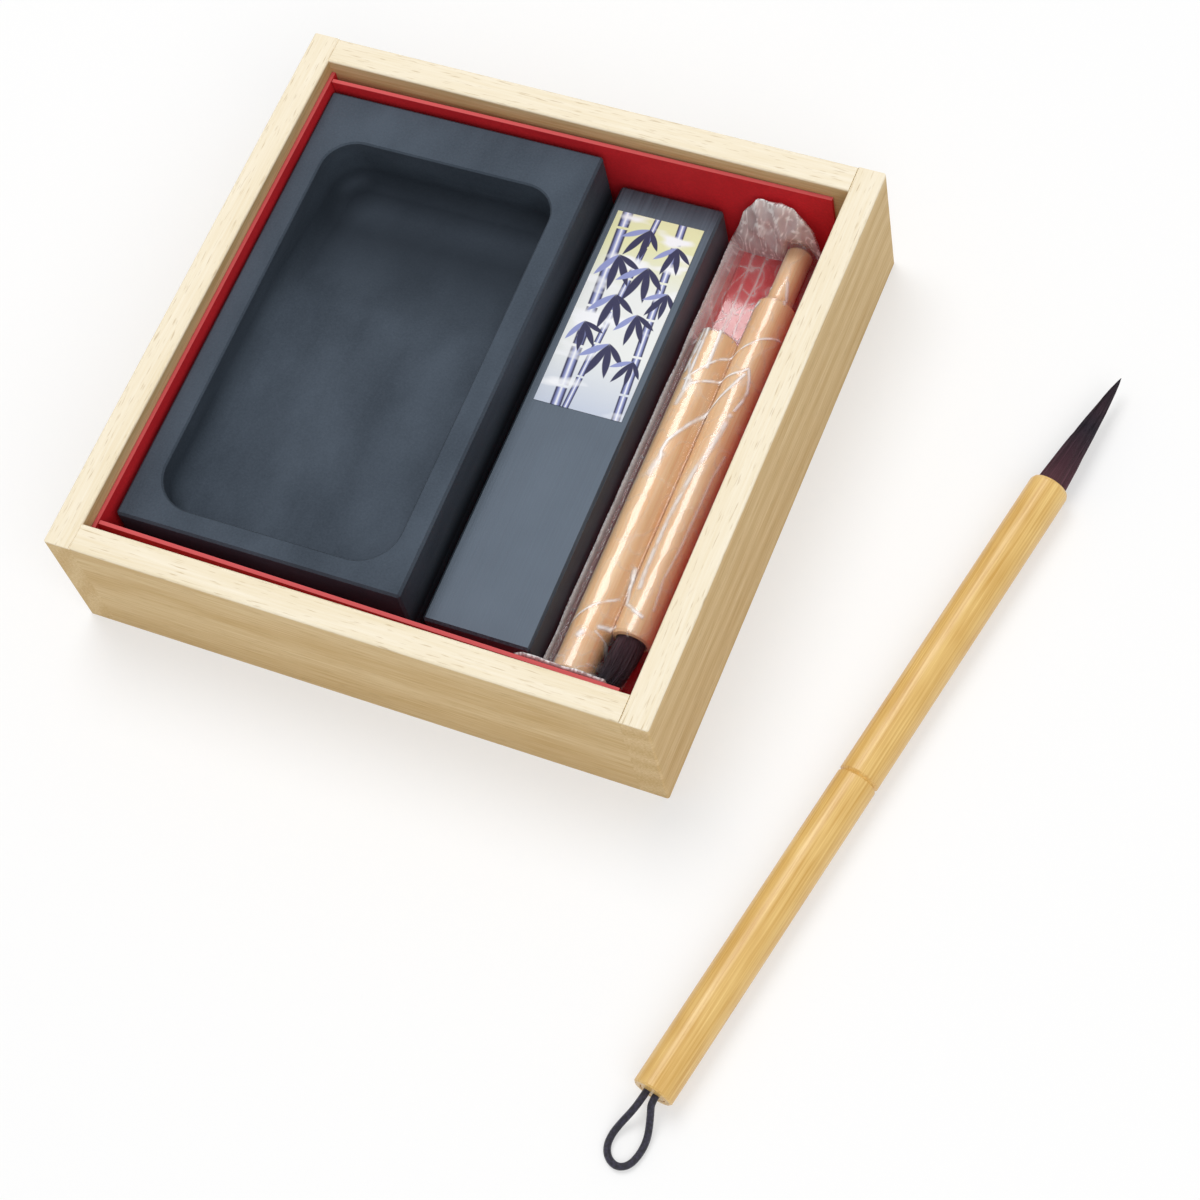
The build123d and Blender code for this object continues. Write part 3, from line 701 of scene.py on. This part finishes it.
def tuftTree():
    tree = bpy.data.node_groups.new("tuft of hair", "GeometryNodeTree")
    sockets = {"Guide": "Geometry", "Hairs": "Int", "Points": "Int", "Hair Radius": "Float",
               "Waviness": "Float", "Seed": "Int", "Material": "Material"}
    for name, kind in sockets.items():
        tree.interface.new_socket(name, in_out="INPUT", socket_type="NodeSocket" + kind)
    tree.interface.new_socket("Tuft", in_out="OUTPUT", socket_type="NodeSocketGeometry")
    given = addNode(tree, "NodeGroupInput").outputs

    # The hairs stand as evenly over the bundle's section as the seeds of a sunflower.
    spots = addNode(tree, "GeometryNodePoints", {"Count": given["Hairs"]})
    number = addNode(tree, "GeometryNodeInputIndex").outputs[0]
    inward = addNode(tree, "ShaderNodeMath", {0: number, 1: 0.5}, operation="ADD")
    inward = addNode(tree, "ShaderNodeMath", {0: inward.outputs[0], 1: given["Hairs"]}, operation="DIVIDE")
    facts = {
        "reach": addNode(tree, "ShaderNodeMath", {0: inward.outputs[0]}, operation="SQRT").outputs[0],
        "turn": addNode(tree, "ShaderNodeMath", {0: number, 1: tuftSettings["goldenAngle"]},
                        operation="MULTIPLY").outputs[0],
        "shade": addNode(tree, "FunctionNodeRandomValue", {7: number, 8: given["Seed"]},
                         data_type="FLOAT").outputs[1],
        "share": addNode(tree, "FunctionNodeRandomValue",
                         {2: tuftSettings["shortest"], 3: 1.0, 7: number, 8: given["Seed"]},
                         data_type="FLOAT").outputs[1],
    }
    points = spots.outputs[0]
    for name, value in facts.items():
        points = addNode(tree, "GeometryNodeStoreNamedAttribute",
                         {"Geometry": points, "Name": name, "Value": value},
                         data_type="FLOAT", domain="POINT").outputs[0]
    strand = addNode(tree, "GeometryNodeCurvePrimitiveLine")
    strand = addNode(tree, "GeometryNodeResampleCurve",
                     {"Curve": strand.outputs[0], "Count": given["Points"]})
    hairs = addNode(tree, "GeometryNodeInstanceOnPoints", {"Points": points, "Instance": strand.outputs[0]})
    hairs = addNode(tree, "GeometryNodeRealizeInstances", {"Geometry": hairs.outputs[0]})

    read = {name: addNode(tree, "GeometryNodeInputNamedAttribute", {"Name": name},
                          data_type="FLOAT").outputs[0] for name in facts}
    factor = addNode(tree, "GeometryNodeSplineParameter").outputs["Factor"]
    along = addNode(tree, "ShaderNodeMath", {0: factor, 1: read["share"]}, operation="MULTIPLY").outputs[0]
    line = addNode(tree, "GeometryNodeMeshToCurve", {"Mesh": given["Guide"]})
    width = addNode(tree, "GeometryNodeInputNamedAttribute", {"Name": "bundleRadius"}, data_type="FLOAT")
    here = addNode(tree, "GeometryNodeSampleCurve",
                   {"Curves": line.outputs[0], "Value": width.outputs[0], "Factor": along},
                   mode="FACTOR", use_all_curves=True).outputs
    side = addNode(tree, "ShaderNodeVectorMath", {0: here["Tangent"], 1: here["Normal"]},
                   operation="CROSS_PRODUCT")
    steps = []
    for axis, turning in ((here["Normal"], "COSINE"), (side.outputs[0], "SINE")):
        part = addNode(tree, "ShaderNodeMath", {0: read["turn"]}, operation=turning)
        part = addNode(tree, "ShaderNodeMath", {0: part.outputs[0], 1: read["reach"]}, operation="MULTIPLY")
        step = addNode(tree, "ShaderNodeVectorMath", {0: axis}, operation="SCALE")
        tree.links.new(part.outputs[0], step.inputs["Scale"])
        steps.append(step.outputs[0])
    spot = addNode(tree, "ShaderNodeVectorMath", {0: steps[0], 1: steps[1]}, operation="ADD").outputs[0]

    # Neighbouring hairs wander together, as locks do, and more towards the tip.
    lock = addNode(tree, "ShaderNodeTexNoise", {"Vector": spot, "W": along, "Scale": 3.5, "Detail": 1.0},
                   noise_dimensions="4D")
    wander = addNode(tree, "ShaderNodeVectorMath", {0: lock.outputs["Color"], 1: (0.5, 0.5, 0.5)},
                     operation="SUBTRACT")
    loose = addNode(tree, "ShaderNodeMath", {0: along, 1: given["Waviness"]}, operation="MULTIPLY")
    loose = addNode(tree, "ShaderNodeMath", {0: loose.outputs[0], 1: 4.0}, operation="MULTIPLY")
    wander = addNode(tree, "ShaderNodeVectorMath", {0: wander.outputs[0]}, operation="SCALE")
    tree.links.new(loose.outputs[0], wander.inputs["Scale"])
    spot = addNode(tree, "ShaderNodeVectorMath", {0: spot, 1: wander.outputs[0]}, operation="ADD")
    spot = addNode(tree, "ShaderNodeVectorMath", {0: spot.outputs[0]}, operation="SCALE")
    tree.links.new(here["Value"], spot.inputs["Scale"])
    target = addNode(tree, "ShaderNodeVectorMath", {0: here["Position"], 1: spot.outputs[0]}, operation="ADD")
    hairs = addNode(tree, "GeometryNodeSetPosition",
                    {"Geometry": hairs.outputs[0], "Position": target.outputs[0]})
    hairs = addNode(tree, "GeometryNodeStoreNamedAttribute",
                    {"Geometry": hairs.outputs[0], "Name": "along", "Value": along},
                    data_type="FLOAT", domain="POINT")

    section = addNode(tree, "GeometryNodeCurvePrimitiveCircle", {"Resolution": 3, "Radius": 1.0})
    thin = addNode(tree, "ShaderNodeMapRange", {"Value": factor, "To Min": 1.0, "To Max": 0.25})
    thick = addNode(tree, "ShaderNodeMath", {0: thin.outputs["Result"], 1: given["Hair Radius"]},
                    operation="MULTIPLY")
    solid = addNode(tree, "GeometryNodeCurveToMesh",
                    {"Curve": hairs.outputs[0], "Profile Curve": section.outputs[0],
                     "Scale": thick.outputs[0], "Fill Caps": True})
    solid = addNode(tree, "GeometryNodeSetShadeSmooth", {"Geometry": solid.outputs[0]})
    solid = addNode(tree, "GeometryNodeRealizeInstances", {"Geometry": solid.outputs[0]})
    solid = addNode(tree, "GeometryNodeSetMaterial",
                    {"Geometry": solid.outputs[0], "Material": given["Material"]})
    addNode(tree, "NodeGroupOutput", {"Tuft": solid.outputs[0]})
    return tree


def makeTuft(name, settings, stations, tree, material, body, replaced):  # a station is a place and a radius
    mesh = bpy.data.meshes.new(name + "_guide")
    mesh.from_pydata([place for place, _ in stations], [(i, i + 1) for i in range(len(stations) - 1)], [])
    widths = mesh.attributes.new("bundleRadius", "FLOAT", "POINT")
    widths.data.foreach_set("value", [radius for _, radius in stations])
    guide = bpy.data.objects.new(name + "_guide", mesh)
    bpy.context.scene.collection.objects.link(guide)
    modifier = guide.modifiers.new("tuft", "NODES")
    modifier.node_group = tree
    values = {"Hairs": settings["hairs"], "Points": settings["points"],
              "Hair Radius": settings["hairRadius"] * mm, "Waviness": settings["waviness"],
              "Seed": settings["seed"], "Material": material}
    for item in tree.interface.items_tree:
        if item.in_out == "INPUT" and item.name in values:
            modifier[item.identifier] = values[item.name]
    evaluated = guide.evaluated_get(bpy.context.evaluated_depsgraph_get())
    tuft = bpy.data.meshes.new_from_object(evaluated)
    guide.modifiers.remove(modifier)
    bpy.data.objects.remove(guide)
    tuft.name = name
    return putInScene(name, tuft, body, replaced)


def makeTufts():
    tree = tuftTree()
    material = makeHair()
    loose = tuftSettings["loose"]
    turn = math.radians(loose["turn"])
    ahead = Vector((math.cos(turn), math.sin(turn), 0))
    first = Vector(loose["joint"]) + ahead * loose["mouth"]
    stations = [((first - ahead * 2.2) * mm, loose["rootRadius"] * mm)]
    for i in range(loose["stations"]):
        share = i / (loose["stations"] - 1)
        radius = max(loose["radius"] * (1 - share) ** loose["taper"], 0.03)
        stations.append(((first + ahead * loose["length"] * share) * mm, radius * mm))
    makeTuft("brush_tuft", loose, stations, tree, material, "brush_front", ["tuft"])

    packed = tuftSettings["packed"]
    stations = [(Vector((x, y, packed["height"])) * mm, radius * mm) for x, y, radius in packed["stations"]]
    makeTuft("brush_tuft_packed", packed, stations, tree, material, "packet", ["packed_tuft"])


makeTufts()
print("tufts done")


# The film bag: clear polypropylene film, thin, loose and crinkled. It shows what is under it with long glossy
# streaks, which are partly real reflection and partly painted highlight, and it is milky white at its folds
# and crease lines.
filmSettings = {
    "left": 31.25,
    "right": 51.1,
    "front": -53.7,
    "back": 53.9,
    "floor": 3.9,
    "sideHeight": 8.6,  # where the flattened side folds hang
    "columns": 96,
    "rows": 420,
    "tailRows": 30,
    "clear": 0.12,  # film above a handle's surface
    "cling": 0.03,  # how hard each point is drawn down, in mm a step
    "startHeight": 11.0,
    "steps": 600,
    "handles": [(37.85, -48.3, 29.7, 4.1), (46.1, -38.0, 40.2, 4.1), (46.1, 40.2, 53.7, 2.75)],
    "handleHeight": 8.25,
    "crumple": 0.22,
    "slack": (0.35, 1.6, 0.8),  # how loose it is: everywhere, and more behind the left handle and in front
    "haze": (0.03, 0.22, 0.12, 0.2),  # how milky it is: the same, and more along the left fold
    "tailHaze": {"frontTail": 0.6, "backTail": 0.5},
    "backTail": [(33.4, 13.6), (34.6, 18.0), (38.0, 23.6), (40.4, 23.9), (43.2, 24.6), (45.6, 23.2),
                 (47.8, 20.0), (49.3, 16.6), (50.0, 12.0)],  # x and z of its upper outline
    "frontTail": [(31.4, 15.0), (31.2, 24.6), (33.0, 26.0), (36.5, 26.2), (41.0, 25.6), (45.5, 25.9),
                  (49.4, 24.8), (50.4, 15.0)],
    "creasesAndHighlights": [  # half width, rise and how white, then the line's points; the white is partly real crease whitening and partly painted highlight, the glossy streaks along the handles
        (0.32, 0.07, 1.0, [(35.6, 53.5), (36.1, 39.1), (36.0, 32.7), (36.0, 23.7), (36.3, 15.0)]),
        (0.29, 0.07, 1.0, [(38.3, 53.0), (38.6, 47.0), (38.2, 40.8), (38.7, 30.8), (39.0, 21.0)]),
        (0.2, 0.04, 1.0, [(33.7, 35.6), (36.3, 38.5), (37.6, 40.6), (39.5, 42.3)]),
        (0.26, 0.04, 1.0, [(33.7, 35.6), (34.1, 34.0), (34.8, 33.1), (35.2, 29.7), (34.8, 24.4),
                        (34.8, 19.6)]),
        (0.2, 0.03, 1.0, [(34.8, 33.3), (36.0, 33.0)]),
        (0.2, 0.03, 1.0, [(40.2, 34.2), (41.0, 34.4), (41.3, 33.4), (40.7, 32.4), (40.0, 32.7),
                        (40.2, 34.2)]),
        (0.2, 0.03, 1.0, [(41.3, 34.0), (42.7, 34.6)]),
        (0.37, 0.03, 1.0, [(42.6, 37.9), (43.0, 38.8)]),
        (0.3, 0.03, 0.84, [(39.4, 42.0), (39.9, 42.5)]),
        (0.2, 0.03, 1.0, [(42.5, 42.5), (43.0, 43.2), (43.9, 43.4), (43.4, 42.0)]),
        (0.28, 0.03, 0.77, [(46.5, 45.9), (47.4, 43.0), (48.3, 39.4)]),
        (0.2, 0.03, 1.0, [(35.6, 17.4), (37.9, 20.2), (40.6, 23.9), (43.6, 27.1), (46.8, 30.0),
                        (49.9, 32.1)]),
        (0.3, 0.03, 1.0, [(36.8, 17.4), (34.9, 21.6), (35.4, 26.6)]),
        (0.24, 0.05, 1.0, [(37.2, 16.5), (40.4, 18.4), (43.1, 20.6), (45.9, 22.0), (47.0, 23.0)]),
        (0.49, 0.03, 0.69, [(37.0, 17.1), (36.4, 13.9), (36.1, 11.7)]),
        (0.24, 0.04, 0.98, [(47.2, 22.7), (47.9, 20.9), (48.5, 18.3), (48.3, 15.9), (47.7, 13.4)]),
        (0.28, 0.05, 1.0, [(46.7, 21.5), (45.2, 18.3), (43.8, 15.8), (42.5, 13.1), (40.9, 9.5), (39.2, 6.0),
                           (37.7, 3.1), (37.4, 0.7), (37.9, -1.2)]),
        (0.68, 0.03, 0.63, [(37.7, -0.2), (36.9, -4.8)]),
        (0.49, 0.01, 0.77, [(47.3, 12.0), (46.9, 7.8), (46.3, 3.3), (45.3, -1.0), (44.6, -6.0), (44.2, -12.0),
                            (44.0, -19.4), (44.2, -25.3), (44.5, -28.2)]),
        (0.2, 0.01, 0.5, [(49.3, 3.8), (48.8, -2.0), (48.8, -7.2), (48.6, -18.5), (48.1, -25.3),
                        (48.7, -31.8)]),
        (0.4, 0.05, 1.0, [(41.5, -24.0), (42.1, -27.5), (42.8, -30.3), (43.2, -32.0)]),
        (0.34, 0.04, 1.0, [(43.2, -32.0), (45.2, -33.2), (47.3, -34.0)]),
        (0.22, 0.04, 0.84, [(33.2, -40.0), (35.4, -36.8), (37.5, -34.6), (40.6, -32.1), (41.3, -31.2)]),
        (0.59, 0.03, 0.84, [(37.2, -41.2), (37.6, -40.4)]),
        (0.4, 0.03, 1.0, [(40.2, -38.3), (42.6, -37.0)]),
        (0.2, 0.03, 0.77, [(39.9, -39.4), (41.9, -40.2), (42.5, -42.6), (42.0, -45.3), (40.9, -46.0)]),
        (0.22, 0.05, 1.0, [(45.8, -38.0), (44.3, -41.6), (42.9, -44.9), (41.4, -48.2)]),
        (0.22, 0.04, 0.98, [(46.2, -38.7), (47.1, -41.8), (46.8, -44.7), (46.2, -48.0)]),
        (0.29, 0.07, 1.0, [(31.6, 52.0), (31.5, 30.0), (31.6, 10.0), (31.6, -10.0), (31.5, -30.0),
                        (31.6, -50.0)]),
    ],
}


def onOutline(points, count):  # count places, evenly spaced along the line through the points
    points = np.array(points)
    steps = np.concatenate([[0], np.cumsum(np.linalg.norm(np.diff(points, axis=0), axis=1))])
    wanted = np.linspace(0, steps[-1], count)
    return np.stack([np.interp(wanted, steps, points[:, axis]) for axis in (0, 1)], axis=1)


def distanceToLine(x, y, points):
    nearest = np.full(x.shape, np.inf)
    for (ax, ay), (bx, by) in zip(points, points[1:]):
        length = (bx - ax) ** 2 + (by - ay) ** 2
        share = np.clip(((x - ax) * (bx - ax) + (y - ay) * (by - ay)) / length, 0, 1)
        nearest = np.minimum(nearest, np.hypot(x - ax - share * (bx - ax), y - ay - share * (by - ay)))
    return nearest


def noiseAt(x, y, layer):  # Perlin noise from -1 to 1 at many places, another pattern on each layer
    flat = np.stack([x.ravel(), y.ravel(), np.full(x.size, float(layer))], axis=1)
    return np.array([noise.noise(place) for place in flat]).reshape(x.shape)


# The height of a film that hangs from its edges over the handles. Where no handle lies under
# it, it still sags through the tray's floor, because lowest starts from 0.
def stretchedFilm(x, y):
    settings = filmSettings
    lowest = np.zeros(x.shape)
    for middle, start, end, radius in settings["handles"]:
        out = radius ** 2 - (x - middle) ** 2
        over = settings["handleHeight"] + np.sqrt(np.maximum(out, 0)) + settings["clear"]
        lowest = np.where((out > 0) & (y >= start) & (y <= end), np.maximum(lowest, over), lowest)
    height = np.maximum(np.full(x.shape, settings["startHeight"]), lowest)
    height[:, 0] = height[:, -1] = settings["sideHeight"]
    for _ in range(settings["steps"]):
        middle = (height[:-2, 1:-1] + height[2:, 1:-1] + height[1:-1, :-2] + height[1:-1, 2:]) / 4
        middle -= settings["cling"]
        height[1:-1, 1:-1] = np.maximum(middle, lowest[1:-1, 1:-1])
        height[0, 1:-1] = np.maximum(height[1, 1:-1], lowest[0, 1:-1])
        height[-1, 1:-1] = np.maximum(height[-2, 1:-1], lowest[-1, 1:-1])
    return height


def smooth(low, high, value):
    share = np.clip((value - low) / (high - low), 0, 1)
    return share * share * (3 - 2 * share)


def filmSheets():  # the upper and the lower sheet, and how white the upper one is
    settings = filmSettings
    columns, rows, tailRows = settings["columns"], settings["rows"], settings["tailRows"]
    across = np.linspace(0, 1, columns)
    y = np.repeat(np.linspace(settings["front"], settings["back"], rows)[:, None], columns, axis=1)
    wobble = 0.3 * noiseAt(np.zeros((rows, 1)), y[:, :1] / 9, 1)
    left = settings["left"] + 0.15 + wobble
    x = left + (settings["right"] - left) * across
    height = stretchedFilm(x, y)
    edge = smooth(0, 0.06, across) * smooth(0, 0.06, 1 - across)  # 0 on the side folds

    # Crumpling: a little everywhere, more where no handle holds the film up and at the ends.
    base, back, front = settings["slack"]
    slack = base + back * smooth(27.5, 30.5, y) * smooth(43.0, 41.0, x) + front * smooth(-44, -50, y)
    folds = noiseAt(x / 3.2, y / 7.5, 0)
    creasesAndHighlights = 1 - 2.2 * np.abs(noiseAt(x / 2.6, y / 5.0, 7))
    height = height + settings["crumple"] * slack * edge * (1 + folds + 0.7 * np.maximum(creasesAndHighlights, 0))
    # Real whitening with painted highlight: the sharpest crumple ridges, and below them the listed lines, are
    # painted white.
    white = 0.5 * slack * np.clip(creasesAndHighlights, 0, 1) ** 12
    patchy = np.clip(1.05 + 1.1 * noiseAt(x / 1.1, y / 2.0, 17), 0.4, 1)
    for half, rise, whitenessAndHighlight, points in settings["creasesAndHighlights"]:
        near = np.exp(-(distanceToLine(x, y, points) / half) ** 2)
        height += rise * near * edge
        white = np.maximum(white, whitenessAndHighlight * near * patchy)
    base, back, front, side = settings["haze"]
    haze = base + back * smooth(29, 33, y) * smooth(43, 37, x) + front * smooth(-42, -51, y)
    haze = haze + side * smooth(0.14, 0.0, across)

    upper = np.stack([x, y, height], axis=2)
    lowerHeight = settings["floor"] + (settings["sideHeight"] - settings["floor"]) * (
        1 - smooth(0, 0.13, across) * smooth(0, 0.07, 1 - across))
    lower = np.stack([x, y, np.repeat(lowerHeight[None, :], rows, axis=0)], axis=2)

    # The tails rise from the sheet's two ends and are crushed into folds.
    parts = {}
    for name, row, depth, wall in (("frontTail", 0, 1.5, -53.9), ("backTail", -1, -2.2, 54.6)):
        top = onOutline(settings[name], columns)
        share = np.linspace(0, 1, tailRows + 1)[1:, None]
        tail = {}
        for sheet, base in (("upper", upper[row]), ("lower", lower[row])):
            tx = base[None, :, 0] * (1 - share) + top[None, :, 0] * share
            tz = base[None, :, 2] * (1 - share) + top[None, :, 1] * share
            bulge = np.sin(np.pi * share) * np.sin(np.pi * across)[None, :]
            crush = noiseAt(tx / 3.4, tz / 6.0, 3 + row)
            fine = noiseAt(tx / 1.3, tz / 1.8, 5 + row)
            ty = base[None, :, 1] * (1 - share) + wall * share
            inward = bulge * (0.55 + 0.6 * crush + 0.12 * fine) + 0.35 * share * (1 + crush)
            ty = ty + depth * inward * (1.0 if sheet == "upper" else 0.1)
            tail[sheet] = np.stack([tx, ty, tz], axis=2)
        tail["lower"][-1] = tail["upper"][-1]
        tail["lower"][:, [0, -1]] = tail["upper"][:, [0, -1]]
        tx, tz = tail["upper"][:, :, 0], tail["upper"][:, :, 2]
        # The tail's white is partly real whitening at its folds and partly painted glints: bright ridges and
        # specks, and a paler rim where it folds over.
        ridge = 1 - 2.0 * np.abs(noiseAt(tx / 1.6, tz / 7.0, 11))
        specks = np.clip(2.4 * noiseAt(tx / 1.1, tz / 1.4, 13) - 0.8, 0, 1)
        rim = smooth(0.86, 1.0, share)
        tail["white"] = np.clip(0.6 * np.clip(ridge, 0, 1) ** 14 + specks + 0.25 * rim, 0, 1)
        tail["haze"] = np.repeat(settings["tailHaze"][name] * (0.4 + 0.6 * share), columns, axis=1)
        parts[name] = tail

    def joined(key, middle):
        return np.concatenate([parts["frontTail"][key][::-1], middle, parts["backTail"][key]])

    upperAll, lowerAll = joined("upper", upper), joined("lower", lower)
    return upperAll, lowerAll, joined("white", white), joined("haze", haze)


def makeFilm():
    upper, lower, white, haze = filmSheets()
    rows, columns = white.shape
    count = rows * columns
    number = np.arange(count).reshape(rows, columns)
    corners = [number[:-1, :-1], number[:-1, 1:], number[1:, 1:], number[1:, :-1]]
    quads = np.stack(corners, axis=2).reshape(-1, 4)
    places = np.concatenate([upper.reshape(-1, 3), lower.reshape(-1, 3)]) * mm
    faces = np.concatenate([quads, quads[:, ::-1] + count])
    mesh = bpy.data.meshes.new("crinkled_film")
    mesh.from_pydata(places.tolist(), [], faces.tolist())
    for name, values in (("white", white), ("haze", haze)):
        layer = mesh.attributes.new(name, "FLOAT", "POINT")
        layer.data.foreach_set("value", np.concatenate([values.ravel(), values.ravel() * 0.3]))
    sheet = bmesh.new()
    sheet.from_mesh(mesh)
    bmesh.ops.remove_doubles(sheet, verts=sheet.verts, dist=0.002 * mm)
    bmesh.ops.recalc_face_normals(sheet, faces=sheet.faces)
    sheet.to_mesh(mesh)
    sheet.free()
    mesh.polygons.foreach_set("use_smooth", [True] * len(mesh.polygons))

    material, tree, shader = newMaterial("clear polypropylene film")
    # Painted highlight with real whitening: the white attribute mixes in opaque white along crease lines and
    # where glossy streaks are painted.
    creaseWhiteAndHighlight = addNode(tree, "ShaderNodeAttribute", attribute_name="white").outputs["Fac"]
    milky = addNode(tree, "ShaderNodeAttribute", attribute_name="haze").outputs["Fac"]
    opaque = addNode(tree, "ShaderNodeMath", {0: creaseWhiteAndHighlight, 1: milky}, operation="ADD", use_clamp=True)
    gloss = addNode(tree, "ShaderNodeLayerWeight", {"Blend": 0.35})
    shine = addNode(tree, "ShaderNodeMapRange", {"Value": gloss.outputs["Fresnel"], "To Min": 0.05,
                                                 "To Max": 0.45})
    clear = addNode(tree, "ShaderNodeBsdfTransparent", {"Color": srgb("#FDFBFE")})
    mirror = addNode(tree, "ShaderNodeBsdfGlossy", {"Color": srgb("#FFFFFF"), "Roughness": 0.12})
    film = addNode(tree, "ShaderNodeMixShader", {0: shine.outputs["Result"], 1: clear.outputs[0],
                                                 2: mirror.outputs[0]})
    setInputs(tree, shader, {"Base Color": srgb("#FFFFFF"), "Roughness": 0.3})
    both = addNode(tree, "ShaderNodeMixShader",
                   {0: opaque.outputs[0], 1: film.outputs[0], 2: shader.outputs[0]})
    setInputs(tree, tree.nodes["Material Output"], {"Surface": both.outputs[0]})
    mesh.materials.append(material)
    putInScene("crinkled_film", mesh, "packet", ["brush_bag"])


makeFilm()
print("film done")
